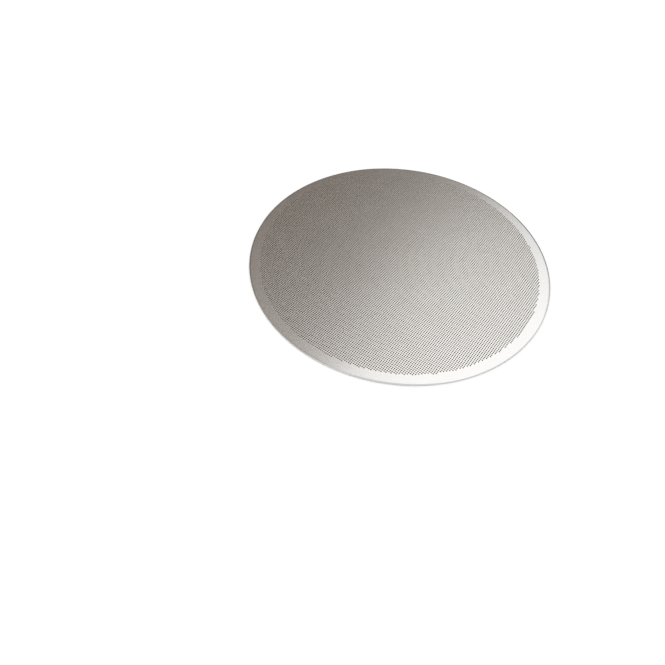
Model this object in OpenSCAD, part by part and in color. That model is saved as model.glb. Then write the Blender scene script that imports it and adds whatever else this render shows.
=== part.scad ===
// Filter disc etched from thin stainless foil: a plain rim round a field of fine openings.
// The real field is thousands of round holes on a square lattice. Straight slots along the
// lattice stand for them here, with about the same open area, so that the solid stays light.

/* [Disc] */
// Outside diameter, mm
disc_d = 62; // [40:0.5:120]
// Thickness of the foil, mm
foil_t = 0.2; // [0.1:0.05:0.5]
// Width of the plain rim between the outside edge and the field, mm
rim_w = 2; // [1:0.1:10]

/* [Field] */
// Distance from one slot to the next, mm
slot_pitch = 0.5; // [0.5:0.05:2]
// Width of each slot, mm
slot_w = 0.15; // [0.1:0.01:0.4]
// Turn of the slots from the X axis, degrees
slot_turn = -35; // [-90:1:90]

/* [Hidden] */
// Sides of the outside circle where it is drawn as a polygon
edge_fn = 180;
// Radius of the field that the slots fill
field_r = disc_d / 2 - rim_w;
// How far from the centre a slot may lie, so that it is at least as long as it is wide
slot_reach = sqrt(pow(field_r, 2) - pow(slot_w / 2, 2)) - slot_w / 2;
// Slots on each side of the centre, the first of them half a pitch away from it
slots_a_side = floor(slot_reach / slot_pitch + 1 / 2);

// Length of the slot at distance y from the centre, whose outer corners touch the field's edge
function slot_length(y) = 2 * sqrt(pow(field_r, 2) - pow(y + slot_w / 2, 2));

// Outline of the slots on one side of the centre
module half_field()
    for (i = [1:slots_a_side])
        let (y = (i - 1 / 2) * slot_pitch)
            translate([0, y])
                square([slot_length(y), slot_w], center = true);

// Outline of all the slots: one half of the field, and the same turned half round
module field()
    rotate(slot_turn) {
        half_field();
        rotate(180) half_field();
    }

// The whole disc, one piece of foil that lies on the XY plane
module filter_disc()
    color("silver")
        linear_extrude(foil_t)
            difference() {
                circle(d = disc_d, $fn = edge_fn);
                field();
            }

filter_disc();
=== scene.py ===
"""Looks of a filter disc etched from steel foil, on a pale floor in soft studio light.

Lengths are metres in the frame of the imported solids: the disc lies flat with its underside at zero,
+X points right, +Y away from the viewer and +Z up.
"""

from __future__ import annotations

import logging
import math
from collections.abc import Callable, Sequence
from dataclasses import dataclass
from enum import Enum, IntEnum

import bpy
import numpy as np
from mathutils import Matrix, Vector


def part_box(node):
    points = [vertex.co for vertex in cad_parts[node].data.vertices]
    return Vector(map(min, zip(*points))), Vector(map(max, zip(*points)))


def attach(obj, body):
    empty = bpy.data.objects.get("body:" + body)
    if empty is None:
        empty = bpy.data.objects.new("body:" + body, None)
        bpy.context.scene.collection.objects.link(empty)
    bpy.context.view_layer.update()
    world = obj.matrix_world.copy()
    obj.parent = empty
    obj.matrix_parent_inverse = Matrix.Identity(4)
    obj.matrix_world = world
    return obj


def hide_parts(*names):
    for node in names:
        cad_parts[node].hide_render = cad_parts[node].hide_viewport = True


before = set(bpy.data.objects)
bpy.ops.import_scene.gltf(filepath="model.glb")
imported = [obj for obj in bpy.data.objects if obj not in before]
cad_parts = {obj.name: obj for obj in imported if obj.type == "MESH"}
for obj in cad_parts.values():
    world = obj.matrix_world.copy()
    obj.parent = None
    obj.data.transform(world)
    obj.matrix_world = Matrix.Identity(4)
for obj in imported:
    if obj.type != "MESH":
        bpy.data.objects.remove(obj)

MM = 0.001
DISC_NODE = "filter_disc"
BODY = "root"
# Name of the bake map that a piece carries, where it brings one
BAKE_MAP = "OFBake"
# Corners of a hole's cell, as steps along its row and up from it, counter-clockwise from the one that the
# first corner of the hole's ring lies beside
CELL_CORNERS = ((1, 1), (0, 1), (0, 0), (1, 0))

Colour = tuple[float, float, float]
# The lowest and the highest of something
Range = tuple[float, float]

log = logging.getLogger("filter_disc")


class Quarter(Enum):
    """Quarters of the field, by where they lie, with the quarter turns that bring the first one there."""

    RIGHT = 0
    FAR = 1
    LEFT = 2
    NEAR = 3


class FoilFinish(IntEnum):
    """Finishes that a foil piece wears."""

    FIELD = 0
    RIM = 1
    WALL = 2
    EDGE = 3


class NodeSheet:
    """Adds and joins the nodes of one material or world."""

    def __init__(self, owner: bpy.types.Material | bpy.types.World) -> None:
        """Gives a material or world an empty sheet of nodes.

        Args:
            owner: The material or world.
        """
        owner.use_nodes = True
        self.tree = owner.node_tree
        self.tree.nodes.clear()

    def add(self, kind: str, **sockets: object) -> bpy.types.Node:
        """Adds one node and sets its input sockets.

        Args:
            kind: Blender's name for the type of node.
            sockets: Values by socket name, with underscores for spaces. A socket of another node is joined.

        Returns:
            The new node.
        """
        node = self.tree.nodes.new(kind)
        for name, value in sockets.items():
            self.put(node, name.replace("_", " "), value)
        return node

    def put(self, node: bpy.types.Node, name: str | int, value: object) -> None:
        """Sets an input socket to a value, or joins it to another node's output.

        Args:
            node: The node that has the input.
            name: The input's name or number.
            value: A plain value, or an output socket.
        """
        if isinstance(value, bpy.types.NodeSocket):
            self.tree.links.new(value, node.inputs[name])
        else:
            node.inputs[name].default_value = value

    def mix(self, share: bpy.types.NodeSocket, first: Colour, second: Colour) -> bpy.types.NodeSocket:
        """Blends two colours.

        Args:
            share: Output that gives the share of the second colour.
            first: The colour at a share of nothing.
            second: The colour at a share of one.

        Returns:
            The output of the blend.
        """
        node = self.add("ShaderNodeMix")
        node.data_type = "RGBA"
        # Some of this node's sockets share a name, so they are told apart by their identifiers
        inputs = {socket.identifier: socket for socket in node.inputs}
        self.tree.links.new(share, inputs["Factor_Float"])
        inputs["A_Color"].default_value = (*first, 1.0)
        inputs["B_Color"].default_value = (*second, 1.0)
        return next(socket for socket in node.outputs if socket.identifier == "Result_Color")

    def place(self) -> bpy.types.NodeSocket:
        """Gives the output that holds the place on the piece, in Object coordinates."""
        return self.add("ShaderNodeTexCoord").outputs["Object"]

    def noise(
        self, place: bpy.types.NodeSocket, detail: float, scale: float = 1.0, fineness: float = 0.5
    ) -> bpy.types.NodeSocket:
        """Adds cloudy noise.

        Args:
            place: Output that gives the place.
            detail: Number of finer layers.
            scale: Clouds in a unit of length.
            fineness: Strength of each finer layer, beside the one before it.

        Returns:
            The output that gives the noise.
        """
        node = self.add("ShaderNodeTexNoise", Vector=place, Scale=scale, Detail=detail, Roughness=fineness)
        return node.outputs["Fac"]

    def work_out(self, operation: str, first: object, second: object) -> bpy.types.NodeSocket:
        """Works out one number from two.

        Args:
            operation: Blender's name for the operation.
            first: A number, or an output that gives it.
            second: The other.

        Returns:
            The output that gives the result.
        """
        node = self.add("ShaderNodeMath")
        node.operation = operation
        self.put(node, 0, first)
        self.put(node, 1, second)
        return node.outputs["Value"]

    def spread(
        self, value: bpy.types.NodeSocket, source: Range = (0.0, 1.0), target: Range = (0.0, 1.0)
    ) -> bpy.types.NodeSocket:
        """Carries a number from one range to another, and stops it at the ends.

        Args:
            value: Output that gives the number.
            source: The range that it comes from.
            target: The range that it goes to.

        Returns:
            The output that gives the result.
        """
        node = self.add("ShaderNodeMapRange", Value=value, From_Min=source[0], From_Max=source[1])
        self.put(node, "To Min", target[0])
        self.put(node, "To Max", target[1])
        return node.outputs["Result"]

    def surface(self, shader: bpy.types.NodeSocket) -> None:
        """Sends a shader to the material's surface."""
        self.add("ShaderNodeOutputMaterial", Surface=shader)


def add_object(name: str, data: bpy.types.ID) -> bpy.types.Object:
    """Makes an object at the origin and links it into the scene.

    Args:
        name: The object's name.
        data: Its mesh, lamp or lens.

    Returns:
        The object.
    """
    made = bpy.data.objects.new(name, data)
    bpy.context.scene.collection.objects.link(made)
    return made


def stage_sheet(
    name: str, corners: Sequence[Sequence[float]], finish: bpy.types.Material
) -> bpy.types.Object:
    """Makes a flat sheet of one face.

    Args:
        name: The sheet's name.
        corners: Its corners in order.
        finish: Its material.

    Returns:
        The sheet.
    """
    mesh = bpy.data.meshes.new(name)
    mesh.from_pydata(corners, [], [range(len(corners))])
    mesh.materials.append(finish)
    made = add_object(name, mesh)
    return made


@dataclass(frozen=True)
class RolledFace:
    """Finish of the foil's flat faces: satin steel with the faint grain of the rolling mill.

    Attributes:
        name: The material's name.
        gloss: Lowest and highest roughness over the face.
        dark: Colour in the furrows of the grain.
        pale: Colour on its ridges.
        grain_turn: Angle of the grain from the X axis, in radians.
        grain_across: Repeats of the grain in a metre, across it.
        grain_along: Repeats of the grain in a metre, along it.
        grain_detail: Number of finer layers in the grain.
        grain_fineness: Strength of each finer layer, beside the one before it.
        cloud_scale: Repeats in a metre of the wide, faint clouds in the gloss.
        cloud_detail: Number of finer layers in the clouds.
        gloss_span: Sums of grain and clouds at which the roughness is lowest and highest.
        relief: Depth of the grain.
    """

    name: str
    gloss: Range
    dark: Colour = (0.594, 0.585, 0.572)
    pale: Colour = (0.694, 0.69, 0.682)
    grain_turn: float = math.radians(12.0)
    grain_across: float = 9000.0
    grain_along: float = 350.0
    grain_detail: float = 3.0
    grain_fineness: float = 0.6
    cloud_scale: float = 160.0
    cloud_detail: float = 4.0
    gloss_span: Range = (0.6, 1.4)
    relief: float = 0.0012 * MM

    def material(self) -> bpy.types.Material:
        """Makes the material.

        Returns:
            A material whose grain is noise on Object coordinates, stretched along the rolling direction.
        """
        made = bpy.data.materials.new(self.name)
        sheet = NodeSheet(made)
        place = sheet.place()
        turned = sheet.add("ShaderNodeMapping", Vector=place, Rotation=(0.0, 0.0, -self.grain_turn))
        repeats = (self.grain_along, self.grain_across, self.grain_across)
        stretched = sheet.add("ShaderNodeMapping", Vector=turned.outputs["Vector"], Scale=repeats)
        grain = sheet.noise(stretched.outputs["Vector"], self.grain_detail, fineness=self.grain_fineness)
        clouds = sheet.noise(place, self.cloud_detail, self.cloud_scale)
        both = sheet.work_out("ADD", grain, clouds)
        bump = sheet.add("ShaderNodeBump", Distance=self.relief, Strength=1.0, Height=grain)
        steel = sheet.add(
            "ShaderNodeBsdfPrincipled",
            Metallic=1.0,
            Base_Color=sheet.mix(grain, self.dark, self.pale),
            Roughness=sheet.spread(both, self.gloss_span, self.gloss),
            Normal=bump.outputs["Normal"],
        )
        sheet.surface(steel.outputs["BSDF"])
        return made


@dataclass(frozen=True)
class EtchedSteel:
    """Finish of the foil's steel where it was etched or cut through, with fine pits and no grain.

    Attributes:
        name: The material's name.
        dark: Colour in the pits.
        pale: Colour between them.
        gloss: Lowest and highest roughness.
        pit_scale: Pits in a metre.
        pit_detail: Number of finer layers in the pits.
    """

    name: str
    dark: Colour
    pale: Colour
    gloss: Range = (0.4, 0.55)
    pit_scale: float = 12000.0
    pit_detail: float = 2.0

    def material(self) -> bpy.types.Material:
        """Makes the material.

        Returns:
            A material whose pits are noise on Object coordinates.
        """
        made = bpy.data.materials.new(self.name)
        sheet = NodeSheet(made)
        pits = sheet.noise(sheet.place(), self.pit_detail, self.pit_scale)
        steel = sheet.add(
            "ShaderNodeBsdfPrincipled",
            Metallic=1.0,
            Base_Color=sheet.mix(pits, self.dark, self.pale),
            Roughness=sheet.spread(pits, target=self.gloss),
        )
        sheet.surface(steel.outputs["BSDF"])
        return made


RIM_FACE = RolledFace("rim_face", gloss=(0.215, 0.27))
# Painted light: the field's faces are the same rolled steel as the rim, given paler colours so that the
# pierced field comes out brighter.
FIELD_FACE_LIT = RolledFace(
    "field_face_painted_light", gloss=(0.30, 0.35), dark=(0.695, 0.674, 0.644), pale=(0.81, 0.795, 0.772)
)
# Painted shade: the hole walls get colours far darker than the steel, which stand for the shade deep in the
# narrow holes. The same dark colours dress the hidden walls where the pieces meet.
SHADED_HOLE_WALL = EtchedSteel("hole_wall_painted_shade", dark=(0.10, 0.086, 0.07), pale=(0.155, 0.135, 0.113))
CUT_EDGE = EtchedSteel(
    "cut_edge", dark=(0.56, 0.55, 0.535), pale=(0.70, 0.69, 0.675), gloss=(0.12, 0.18)
)


@dataclass
class Patch:
    """Faces of one kind, as rows of point numbers.

    Attributes:
        faces: One row for each face, counter-clockwise seen from outside.
        finish: What they wear.
        smooth: Whether they are shaded as one curved surface.
        uv: Where the corners of the faces lie on the bake map, one row for each, where the piece has one.
    """

    faces: np.ndarray
    finish: FoilFinish
    smooth: bool = False
    uv: np.ndarray | None = None


@dataclass
class FoilPiece:
    """One closed piece of the foil, as points and faces.

    Attributes:
        points: Rows of x, y and z.
        patches: Its faces, all of them with a place on the bake map or none.
    """

    points: np.ndarray
    patches: list[Patch]

    def build(self, name: str, finishes: list[bpy.types.Material]) -> bpy.types.Object:
        """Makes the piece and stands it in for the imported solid.

        Args:
            name: The piece's name.
            finishes: Materials in the order of FoilFinish.

        Returns:
            The piece, on its body.
        """
        mesh = self.mesh(name)
        for finish in self.worn():
            mesh.materials.append(finishes[finish])
        made = add_object(name, mesh)
        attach(made, BODY)
        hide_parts(DISC_NODE)
        return made

    def worn(self) -> list[FoilFinish]:
        """Lists the finishes that the piece wears, in the order of its material slots."""
        return sorted({patch.finish for patch in self.patches})

    def mesh(self, name: str) -> bpy.types.Mesh:
        """Puts the points and faces into a mesh, with the bake map if they have one.

        Args:
            name: The mesh's name.

        Returns:
            The mesh.
        """
        made = bpy.data.meshes.new(name)
        counts = [len(patch.faces) for patch in self.patches]
        sides = np.repeat([patch.faces.shape[1] for patch in self.patches], counts)
        slots = np.repeat([self.worn().index(patch.finish) for patch in self.patches], counts)
        smooth = np.repeat([patch.smooth for patch in self.patches], counts)
        corners = np.concatenate([patch.faces.ravel() for patch in self.patches])
        made.vertices.add(len(self.points))
        made.vertices.foreach_set("co", self.points.ravel())
        made.loops.add(len(corners))
        made.loops.foreach_set("vertex_index", corners)
        made.polygons.add(len(sides))
        made.polygons.foreach_set("loop_start", np.cumsum(sides) - sides)
        made.polygons.foreach_set("material_index", slots)
        made.polygons.foreach_set("use_smooth", smooth)
        if self.patches[0].uv is not None:
            layer = made.uv_layers.new(name=BAKE_MAP)
            layer.uv.foreach_set("vector", np.concatenate([patch.uv for patch in self.patches]).ravel())
        made.update(calc_edges=True)
        made.validate()
        return made


@dataclass(frozen=True)
class FieldMap:
    """Layout of the bake map of a quarter of the field. The map's sides are 1 long.

    The top and the hole walls lie as seen from above, with the disc's middle in one corner of the map. The
    underside lies as seen from below, with the middle in the opposite corner, where its arc stays clear of
    the first. The border wall is a strip in a corner that both arcs leave free.

    Attributes:
        margin: What is left free along the map's sides.
        reach: Length of the field's radius.
        strip_w: Width of the strip, from the underside to the top.
        strip_l: Length of the strip.
    """

    margin: float = 0.01
    reach: float = 0.685
    strip_w: float = 0.05
    strip_l: float = 0.26

    def top(self, plan: np.ndarray) -> np.ndarray:
        """Lays out rows of x and y, as shares of the field's radius, for the top."""
        return self.margin + self.reach * plan

    def underside(self, plan: np.ndarray) -> np.ndarray:
        """Lays out rows of x and y, as shares of the field's radius, for the underside."""
        return 1.0 - self.top(plan[:, ::-1])

    def strip(self, along: np.ndarray, height: np.ndarray) -> np.ndarray:
        """Lays out the border wall.

        Args:
            along: Distance along it, as a share of its length.
            height: Height over the underside, as a share of the thickness.

        Returns:
            Rows of u and v.
        """
        side = 1.0 - self.margin - self.strip_w * height
        return np.column_stack([side, self.margin + self.strip_l * along])


@dataclass(frozen=True)
class HoleLattice:
    """Round holes on a square lattice, with the middle of the disc between four of them.

    Attributes:
        pitch: Distance from one hole to the next in a row.
        mouth: Diameter of a hole at the top face.
        throat: Diameter of a hole at the underside.
        sides: Sides of the polygon that stands for a hole's circle, two to each corner of its cell.
        turn: Angle of the rows from the X axis, in radians.
    """

    pitch: float = 0.4 * MM
    mouth: float = 0.28 * MM
    throat: float = 0.16 * MM
    sides: int = 8
    turn: float = math.radians(-34.64)

    def row_counts(self, field_r: float) -> np.ndarray:
        """Counts the holes of each row in the first quarter that lie wholly inside the field.

        A cell counts where the distance of its centre from the middle, plus the mouth's radius, is at most
        the field's radius. There are as many rows as holes in the first row.

        Args:
            field_r: Radius of the field.

        Returns:
            The number of holes in each row, from the middle outwards, with no empty row.
        """
        centres = (np.arange(int(field_r / self.pitch) + 1) + 0.5) * self.pitch
        inside = np.hypot(*np.meshgrid(centres, centres)) + self.mouth / 2 <= field_r
        counts = inside.sum(axis=1)
        return counts[counts > 0]

    def ring(self, diameter: float) -> np.ndarray:
        """Gives the corners of a hole's polygon about its own centre.

        The polygon has the circle's area: its corner radius is r * sqrt(2 pi / (n sin(2 pi / n))). Its
        first corner is half a step past the X axis.

        Args:
            diameter: Diameter of the circle.

        Returns:
            Corners as rows of x and y, counter-clockwise.
        """
        step = 2 * math.pi / self.sides
        radius = diameter / 2 * math.sqrt(step / math.sin(step))
        angles = (np.arange(self.sides) + 0.5) * step
        return radius * np.column_stack([np.cos(angles), np.sin(angles)])

    def turned(self, points: np.ndarray, quarters: int) -> np.ndarray:
        """Turns points from the lattice's axes to the disc's.

        A quarter turn swaps x and y and changes one sign, which is exact, so that neighbours that were made
        from the same quarter still share their points.

        Args:
            points: Rows of x, y and z.
            quarters: Quarter turns that come first.

        Returns:
            The turned rows.
        """
        x, y, z = points.T
        for _ in range(quarters):
            x, y = -y, x
        cosine, sine = math.cos(self.turn), math.sin(self.turn)
        return np.column_stack([cosine * x - sine * y, sine * x + cosine * y, z])


def at_height(plan: np.ndarray, z: float) -> np.ndarray:
    """Adds the same height to points of a plan."""
    return np.column_stack([plan, np.full(len(plan), z)])


@dataclass(frozen=True)
class HoleField:
    """The pierced field, made as four like quarters so that no piece is too heavy.

    Each quarter is a closed solid, bounded by two lines between the holes and by the steps of its last
    cells.

    Attributes:
        radius: Radius that the holes stay within.
        thickness: Thickness of the foil.
        lattice: The holes.
        bake_map: Layout of each quarter's bake map.
    """

    radius: float
    thickness: float
    lattice: HoleLattice
    bake_map: FieldMap = FieldMap()

    def build(self, finishes: list[bpy.types.Material]) -> list[bpy.types.Object]:
        """Makes the quarters.

        Args:
            finishes: Materials in the order of FoilFinish.

        Returns:
            The pieces, in the order of Quarter.
        """
        first = self.first_quarter()
        made = []
        for quarter in Quarter:
            points = self.lattice.turned(first.points, quarter.value)
            made.append(FoilPiece(points, first.patches).build(f"field_{quarter.name.lower()}", finishes))
        return made

    def steps(self) -> tuple[np.ndarray, np.ndarray]:
        """Follows the stepped edge of the first quarter from the lattice's X axis to its Y axis.

        Each row is one step up, and then as many steps back as the next row has fewer holes.

        Returns:
            How many cells over and how many up each point of the edge lies.
        """
        counts = self.lattice.row_counts(self.radius)
        rows = len(counts)
        rises = np.zeros(2 * rows, int)
        # A row's step up comes after those of the rows before it and after all the steps back to its end
        rises[np.arange(rows) + rows - counts] = 1
        up = np.concatenate([[0], np.cumsum(rises)])
        over = rows - np.concatenate([[0], np.cumsum(1 - rises)])
        return over, up

    def step_plan(self) -> np.ndarray:
        """Gives the points of the first quarter's stepped edge as rows of x and y, without its end."""
        return np.column_stack(self.steps())[:-1] * self.lattice.pitch

    def first_quarter(self) -> FoilPiece:
        """Works out the quarter between the lattice's own +X and +Y axes.

        Returns:
            The quarter.
        """
        lattice, top = self.lattice, self.thickness
        counts = lattice.row_counts(self.radius)
        rows = len(counts)
        row, column = np.nonzero(np.arange(rows) < counts[:, None])
        # Cell corners: a square table of point numbers, of which those beside a hole are used
        used = np.zeros((rows + 1, rows + 1), bool)
        for along, up in CELL_CORNERS:
            used[row + up, column + along] = True
        number = np.where(used, np.cumsum(used.ravel()).reshape(used.shape) - 1, -1)
        cell = np.column_stack([number[row + up, column + along] for along, up in CELL_CORNERS])
        corners = np.argwhere(used)[:, ::-1] * lattice.pitch
        centres = (np.column_stack([column, row]) + 0.5) * lattice.pitch
        mouths = (centres[:, None] + lattice.ring(lattice.mouth)).reshape(-1, 2)
        throats = (centres[:, None] + lattice.ring(lattice.throat)).reshape(-1, 2)
        squares = [at_height(corners, top), at_height(corners, 0.0)]
        rings = [at_height(mouths, top), at_height(throats, 0.0)]
        points = np.concatenate([*squares, *rings])
        under = len(corners)
        mouth = 2 * under + np.arange(len(mouths)).reshape(-1, lattice.sides)
        throat = mouth + len(mouths)
        # Out along the X axis, round by the steps and back along the Y axis
        over, up = self.steps()
        border = np.concatenate([number[0, :rows], number[up, over], number[rows - 1 : 0 : -1, 0]])
        patches = self.face_patches(points, cell, mouth, self.bake_map.top)
        patches += self.face_patches(points, cell + under, throat, self.bake_map.underside, flip=True)
        patches.append(self.hole_patch(points, mouth, throat))
        patches.append(self.border_patch(border, border + under))
        return FoilPiece(points, patches)

    def on_plan(self, points: np.ndarray, faces: np.ndarray) -> np.ndarray:
        """Gives the x and y of all face corners, as shares of the field's radius."""
        return points[faces.ravel(), :2] / self.radius

    def face_patches(
        self,
        points: np.ndarray,
        cell: np.ndarray,
        ring: np.ndarray,
        lay_out: Callable[[np.ndarray], np.ndarray],
        flip: bool = False,
    ) -> list[Patch]:
        """Fills each cell between its square and its hole, on one face of the foil.

        Between a corner of the square and the two ring corners beside it lies a triangle. Between a side of
        the square and the ring side that faces it lies a four-sided face.

        Args:
            points: All points of the quarter.
            cell: The four corners of each cell.
            ring: The ring of each hole.
            lay_out: What places the face on the bake map.
            flip: Whether the face looks down.

        Returns:
            The triangles and the four-sided faces.
        """
        first, second, third = ring[:, 0::2], ring[:, 1::2], np.roll(ring[:, 0::2], -1, axis=1)
        after = np.roll(cell, -1, axis=1)
        tips = np.stack([first, cell, second], axis=-1).reshape(-1, 3)
        sides = np.stack([second, cell, after, third], axis=-1).reshape(-1, 4)
        patches = []
        for rows in (tips, sides):
            faces = rows[:, ::-1] if flip else rows
            patches.append(Patch(faces, FoilFinish.FIELD, uv=lay_out(self.on_plan(points, faces))))
        return patches

    def hole_patch(self, points: np.ndarray, mouth: np.ndarray, throat: np.ndarray) -> Patch:
        """Lines each hole from its mouth to its throat.

        Args:
            points: All points of the quarter.
            mouth: The ring of each hole on the top face.
            throat: The ring of each hole on the underside.

        Returns:
            The hole walls.
        """
        lining = [mouth, np.roll(mouth, -1, axis=1), np.roll(throat, -1, axis=1), throat]
        faces = np.stack(lining, axis=-1).reshape(-1, 4)
        uv = self.bake_map.top(self.on_plan(points, faces))
        return Patch(faces, FoilFinish.WALL, smooth=True, uv=uv)

    def border_patch(self, top: np.ndarray, under: np.ndarray) -> Patch:
        """Closes the quarter all round, where it meets its neighbours and the rim.

        Args:
            top: Point numbers round the border on the top face, counter-clockwise.
            under: The same on the underside.

        Returns:
            The border wall.
        """
        faces = np.column_stack([under, np.roll(under, -1), np.roll(top, -1), top])
        start = np.arange(len(top))
        along = np.column_stack([start, start + 1, start + 1, start]) / len(top)
        height = np.tile([0.0, 0.0, 1.0, 1.0], len(top))
        return Patch(faces, FoilFinish.WALL, uv=self.bake_map.strip(along.ravel(), height))


@dataclass(frozen=True)
class PlainRim:
    """The plain rim, one closed ring from the steps of the field to the outside edge.

    Attributes:
        outer_r: Radius of the outside edge.
        holes: The field that it surrounds.
        edge_nose: How far in from the outside edge its rounding sets in, on both faces.
        edge_power: Power of that rounding's profile, where 1 is a sharp bevel and 2 an ellipse.
        edge_steps: Flats in that rounding, from face to face.
        segments: Segments of the outside edge in a quarter.
    """

    outer_r: float
    holes: HoleField
    edge_nose: float = 0.36 * MM
    edge_power: float = 1.4
    edge_steps: int = 12
    segments: int = 128

    def build(self, finishes: list[bpy.types.Material]) -> bpy.types.Object:
        """Makes the ring.

        Args:
            finishes: Materials in the order of FoilFinish.

        Returns:
            The piece.
        """
        inner, edge = self.holes.step_plan(), self.edge_points()
        borders = [at_height(inner, self.holes.thickness), at_height(inner, 0.0), edge.reshape(-1, 3)]
        points = np.concatenate([self.all_round(border) for border in borders])
        steps = len(Quarter) * len(inner)
        inside = np.append(np.arange(steps), 0)
        below = inside + steps
        segment = np.append(np.arange(len(Quarter) * self.segments), 0)
        profile = np.arange(self.edge_steps + 1)
        outside = 2 * steps + segment[:, None] * len(profile) + profile
        inner_angle = self.angles_round(np.arctan2(inner[:, 1], inner[:, 0]))
        outer_angle = self.angles_round(np.arctan2(edge[:, 0, 1], edge[:, 0, 0]))
        top = self.between(inside, outside[:, 0], inner_angle, outer_angle)
        under = self.between(below, outside[:, -1], inner_angle, outer_angle)[:, ::-1]
        band = [outside[:-1, :-1], outside[:-1, 1:], outside[1:, 1:], outside[1:, :-1]]
        wall = np.column_stack([inside[:-1], inside[1:], below[1:], below[:-1]])
        patches = [
            Patch(np.concatenate([top, under]), FoilFinish.RIM),
            Patch(np.stack(band, axis=-1).reshape(-1, 4), FoilFinish.EDGE, smooth=True),
            Patch(wall, FoilFinish.WALL),
        ]
        return FoilPiece(points, patches).build("rim", finishes)

    def edge_points(self) -> np.ndarray:
        """Carries the edge's profile round the first quarter of the outside circle, without its end.

        The profile is half a superellipse from the top face to the underside: at a swing of s, it reaches
        edge_nose * sin(s) ^ (2 / power) out from where it sets in, at half the thickness *
        (1 + cos(s) ^ (2 / power)), where a negative cosine keeps its sign.

        Returns:
            Points by segment and by place on the profile.
        """
        swing = np.linspace(0.0, math.pi, self.edge_steps + 1)
        out = np.sin(swing) ** (2 / self.edge_power)
        rise = np.sign(np.cos(swing)) * np.abs(np.cos(swing)) ** (2 / self.edge_power)
        radius = self.outer_r - self.edge_nose * (1 - out)
        height = self.holes.thickness / 2 * (1 + rise)
        angle = np.linspace(0.0, math.pi / 2, self.segments, endpoint=False)
        x = np.cos(angle)[:, None] * radius
        y = np.sin(angle)[:, None] * radius
        return np.stack([x, y, np.broadcast_to(height, x.shape)], axis=-1)

    def all_round(self, points: np.ndarray) -> np.ndarray:
        """Carries the first quarter's points through all four quarters, in the disc's axes."""
        return np.concatenate([self.holes.lattice.turned(points, quarter.value) for quarter in Quarter])

    @staticmethod
    def angles_round(angles: np.ndarray) -> np.ndarray:
        """Carries the first quarter's angles through all four quarters, up to a whole turn."""
        turns = np.arange(len(Quarter))[:, None] * (math.pi / 2)
        return np.append((angles + turns).ravel(), 2 * math.pi)

    @staticmethod
    def between(
        inside: np.ndarray, outside: np.ndarray, inner_angle: np.ndarray, outer_angle: np.ndarray
    ) -> np.ndarray:
        """Fills a flat ring between two borders, each of which ends on its first point.

        Both borders are taken in the order of their angle. Each step along one border makes a triangle with
        the last point passed on the other.

        Args:
            inside: Point numbers of the inner border.
            outside: Point numbers of the outer border.
            inner_angle: Angles of the inner border's points.
            outer_angle: Angles of the outer border's points.

        Returns:
            Triangles that face up.
        """
        passed_outside = np.searchsorted(outer_angle, inner_angle[1:], side="left") - 1
        passed_inside = np.searchsorted(inner_angle, outer_angle[1:], side="right") - 1
        by_inside = np.column_stack([inside[1:], inside[:-1], outside[passed_outside]])
        by_outside = np.column_stack([outside[:-1], outside[1:], inside[passed_inside]])
        return np.concatenate([by_inside, by_outside])


@dataclass(frozen=True)
class FilterDisc:
    """The whole disc: one foil with a plain rim round a field of etched holes.

    Attributes:
        outer_r: Radius of the outside edge.
        thickness: Thickness of the foil.
        rim_w: Width of the plain rim.
        lattice: The holes of the field.
        finishes: Finishes in the order of FoilFinish.
    """

    outer_r: float
    thickness: float
    rim_w: float = 2.0 * MM
    lattice: HoleLattice = HoleLattice()
    finishes: tuple[RolledFace | EtchedSteel, ...] = (FIELD_FACE_LIT, RIM_FACE, SHADED_HOLE_WALL, CUT_EDGE)

    @classmethod
    def from_frame(cls) -> FilterDisc:
        """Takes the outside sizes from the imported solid."""
        low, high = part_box(DISC_NODE)
        return cls(outer_r=max(high.x, high.y), thickness=high.z - low.z)

    def build(self) -> list[bpy.types.Object]:
        """Makes the field and the rim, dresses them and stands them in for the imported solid.

        Returns:
            The pieces.
        """
        finishes = [finish.material() for finish in self.finishes]
        holes = HoleField(self.outer_r - self.rim_w, self.thickness, self.lattice)
        return [*holes.build(finishes), PlainRim(self.outer_r, holes).build(finishes)]


@dataclass(frozen=True)
class Floor:
    """Pale floor under the disc, a round sheet.

    Attributes:
        radius: Radius of the sheet.
        gap: How far it lies under the disc.
        colour: Its colour.
        lift: Light added for what the camera sees of it, so that it comes out white but keeps its shadow.
        clear: Distances from the disc's middle between which the lift sets in, because none gets under it.
        sides: Sides of the polygon that stands for its circle.
        name: Its name.
    """

    radius: float = 6.0
    gap: float = 0.01 * MM
    colour: Colour = (0.92, 0.92, 0.92)
    lift: float = 0.08
    clear: Range = (30.8 * MM, 32.0 * MM)
    sides: int = 96
    name: str = "floor"

    def build(self) -> bpy.types.Object:
        """Makes the floor.

        Returns:
            The floor.
        """
        angles = np.linspace(0.0, 2 * math.pi, self.sides, endpoint=False)
        ring = self.radius * np.column_stack([np.cos(angles), np.sin(angles)])
        return stage_sheet(self.name, at_height(ring, -self.gap).tolist(), self.material())

    def material(self) -> bpy.types.Material:
        """Makes a matt pale material with the lift for camera, mirror and clear rays.

        Returns:
            The material.
        """
        made = bpy.data.materials.new(self.name)
        sheet = NodeSheet(made)
        matt = sheet.add("ShaderNodeBsdfDiffuse", Color=(*self.colour, 1.0))
        path = sheet.add("ShaderNodeLightPath").outputs
        bent = sheet.work_out("MAXIMUM", path["Is Glossy Ray"], path["Is Transmission Ray"])
        seen = sheet.work_out("MAXIMUM", path["Is Camera Ray"], bent)
        away = sheet.add("ShaderNodeVectorMath")
        away.operation = "LENGTH"
        sheet.put(away, 0, sheet.place())
        lift = sheet.spread(away.outputs["Value"], self.clear, (0.0, self.lift))
        glow = sheet.add("ShaderNodeEmission", Strength=sheet.work_out("MULTIPLY", seen, lift))
        both = sheet.add("ShaderNodeAddShader")
        sheet.put(both, 0, matt.outputs["BSDF"])
        sheet.put(both, 1, glow.outputs["Emission"])
        sheet.surface(both.outputs["Shader"])
        return made


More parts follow.
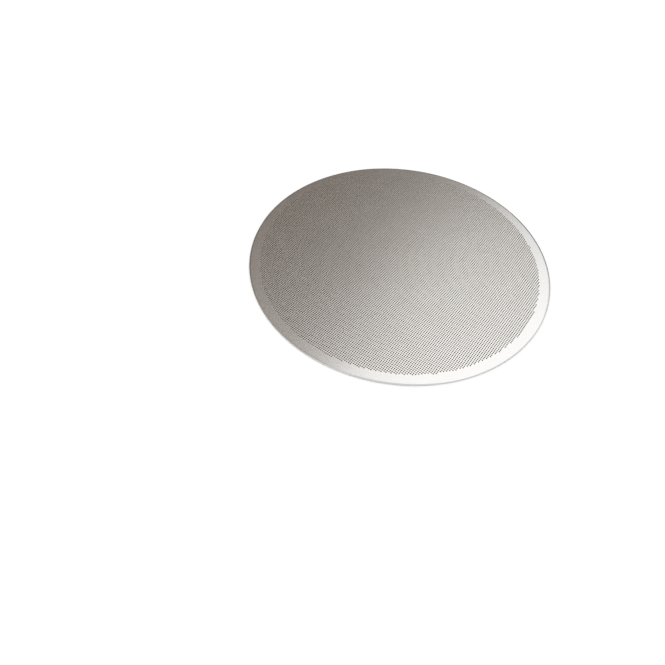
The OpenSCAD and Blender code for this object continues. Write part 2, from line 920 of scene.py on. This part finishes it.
def direction(azimuth: float, elevation: float) -> Vector:
    """Gives a direction out from the disc.

    Args:
        azimuth: Angle to the right of straight away from the viewer, in degrees.
        elevation: Angle above the floor, in degrees.

    Returns:
        A vector of length one.
    """
    turn, rise = math.radians(azimuth), math.radians(elevation)
    level = math.cos(rise)
    return Vector((level * math.sin(turn), level * math.cos(turn), math.sin(rise)))


@dataclass(frozen=True)
class Softbox:
    """Square soft lamp that faces the disc.

    Attributes:
        name: Its name.
        azimuth: Angle to the right of straight away from the viewer, in degrees.
        elevation: Angle above the floor, in degrees.
        side: Length of its sides.
        glow: How bright its face is, beside white at 1.
        distance: How far it is from the disc.
    """

    name: str
    azimuth: float
    elevation: float
    side: float
    glow: float
    distance: float = 0.5

    def build(self) -> bpy.types.Object:
        """Makes the lamp.

        A face of brightness L and area A gives off pi * L * A.

        Returns:
            The lamp.
        """
        lamp = bpy.data.lights.new(self.name, "AREA")
        lamp.shape = "SQUARE"
        lamp.size = self.side
        lamp.energy = math.pi * self.glow * self.side**2
        made = add_object(self.name, lamp)
        out = direction(self.azimuth, self.elevation)
        made.location = out * self.distance
        made.rotation_euler = out.to_track_quat("Z", "Y").to_euler()
        return made


@dataclass(frozen=True)
class ShadeCard:
    """Flat card in the dark colours of a room, which gives the bright metal something dark to mirror.

    Attributes:
        name: Its name.
        azimuth: Where its plane faces the disc from, in degrees to the right of straight away.
        elevation: The same, in degrees above the floor.
        distance: How far its plane is from the disc.
        corners: Directions of its corners, as azimuth and elevation.
        foot: Its colour low down.
        head: Its colour high up.
        fade: Heights over the floor between which its colour changes.
    """

    name: str
    azimuth: float
    elevation: float
    distance: float
    corners: tuple[tuple[float, float], ...]
    foot: Colour = (0.227, 0.190, 0.155)
    head: Colour = (0.56, 0.513, 0.485)
    fade: Range = (0.209, 0.357)

    def build(self) -> bpy.types.Object:
        """Makes the card. Only the metal sees it, so that the floor stays evenly lit.

        Each corner lies where its direction meets the plane, at distance / cos of the angle between them.

        Returns:
            The card.
        """
        facing = direction(self.azimuth, self.elevation)
        rays = [direction(*corner) for corner in self.corners]
        places = [ray * (self.distance / ray.dot(facing)) for ray in rays]
        made = stage_sheet(self.name, places, self.material())
        made.visible_camera = False
        made.visible_diffuse = False
        made.visible_shadow = False
        return made

    def material(self) -> bpy.types.Material:
        """Makes a matt material that pales with height.

        Returns:
            The material.
        """
        made = bpy.data.materials.new(self.name)
        sheet = NodeSheet(made)
        height = sheet.add("ShaderNodeSeparateXYZ", Vector=sheet.place()).outputs["Z"]
        colour = sheet.mix(sheet.spread(height, self.fade), self.foot, self.head)
        matt = sheet.add("ShaderNodeBsdfDiffuse", Color=colour)
        sheet.surface(matt.outputs["BSDF"])
        return made


TALL_CARD = ShadeCard(
    "tall_card",
    azimuth=-25.0,
    elevation=40.0,
    distance=0.4,
    corners=((56.5, 8.0), (8.7, 42.0), (-31.3, 75.0), (-85.0, 60.0), (-75.0, 8.0)),
)
LOW_CARD = ShadeCard(
    "low_card",
    azimuth=30.0,
    elevation=5.0,
    distance=0.6,
    corners=((-30.0, 0.5), (72.0, 0.5), (72.0, 16.0), (-30.0, 16.0)),
    foot=(0.14, 0.13, 0.12),
)


@dataclass(frozen=True)
class Studio:
    """Light round the disc: an even pale surround, soft lamps and dark cards.

    Attributes:
        surround: Brightness of the surround, where 1 is white.
        lamps: The soft lamps.
        cards: The cards.
        floor: The floor.
    """

    surround: float = 1.0
    lamps: tuple[Softbox, ...] = (
        Softbox("side_softbox", azimuth=39.0, elevation=57.0, side=0.345, glow=0.585),
    )
    cards: tuple[ShadeCard, ...] = (TALL_CARD, LOW_CARD)
    floor: Floor = Floor()

    def build(self) -> list[bpy.types.Object]:
        """Makes the surround, the floor, the cards and the lamps.

        Returns:
            The objects made.
        """
        world = bpy.data.worlds.new("surround")
        sheet = NodeSheet(world)
        air = sheet.add("ShaderNodeBackground", Color=(1.0, 1.0, 1.0, 1.0), Strength=self.surround)
        sheet.add("ShaderNodeOutputWorld", Surface=air.outputs["Background"])
        bpy.context.scene.world = world
        return [self.floor.build(), *(thing.build() for thing in (*self.cards, *self.lamps))]


@dataclass(frozen=True)
class PhotoCamera:
    """Camera at the photograph's place.

    Attributes:
        place: Where it stands, from the middle of the disc's underside.
        pitch: Angle that it looks below the horizon, in radians.
        roll: Turn about its own axis, in radians.
        focal_pixels: Focal length in pixels of the photograph.
        image_side: Side of the photograph in pixels.
        sensor: Width of the sensor, in millimetres.
        nearest: Shortest distance at which it sees anything.
    """

    place: tuple[float, float, float] = (-13.12 * MM, -78.73 * MM, 77.19 * MM)
    pitch: float = math.radians(52.803)
    roll: float = math.radians(2.587)
    focal_pixels: float = 521.2
    image_side: int = 665
    sensor: float = 36.0
    nearest: float = 1.0 * MM

    def build(self) -> bpy.types.Object:
        """Makes the camera and gives it to the scene.

        Returns:
            The camera.
        """
        lens = bpy.data.cameras.new("camera")
        lens.sensor_width = self.sensor
        lens.lens = self.focal_pixels * self.sensor / self.image_side
        lens.clip_start = self.nearest
        made = add_object("camera", lens)
        tilt = Matrix.Rotation(math.pi / 2 - self.pitch, 4, "X")
        made.matrix_world = Matrix.Translation(self.place) @ tilt @ Matrix.Rotation(self.roll, 4, "Z")
        bpy.context.scene.camera = made
        return made


def main() -> None:
    """Builds the disc, the studio and the camera."""
    logging.basicConfig(level=logging.INFO, format="%(name)s: %(message)s")
    bpy.context.scene.view_settings.view_transform = "Standard"
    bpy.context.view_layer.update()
    for piece in FilterDisc.from_frame().build():
        log.info("%s has %d faces", piece.name, len(piece.data.polygons))
    for thing in (*Studio().build(), PhotoCamera().build()):
        log.info("%s is in place", thing.name)


if __name__ == "__main__":
    main()
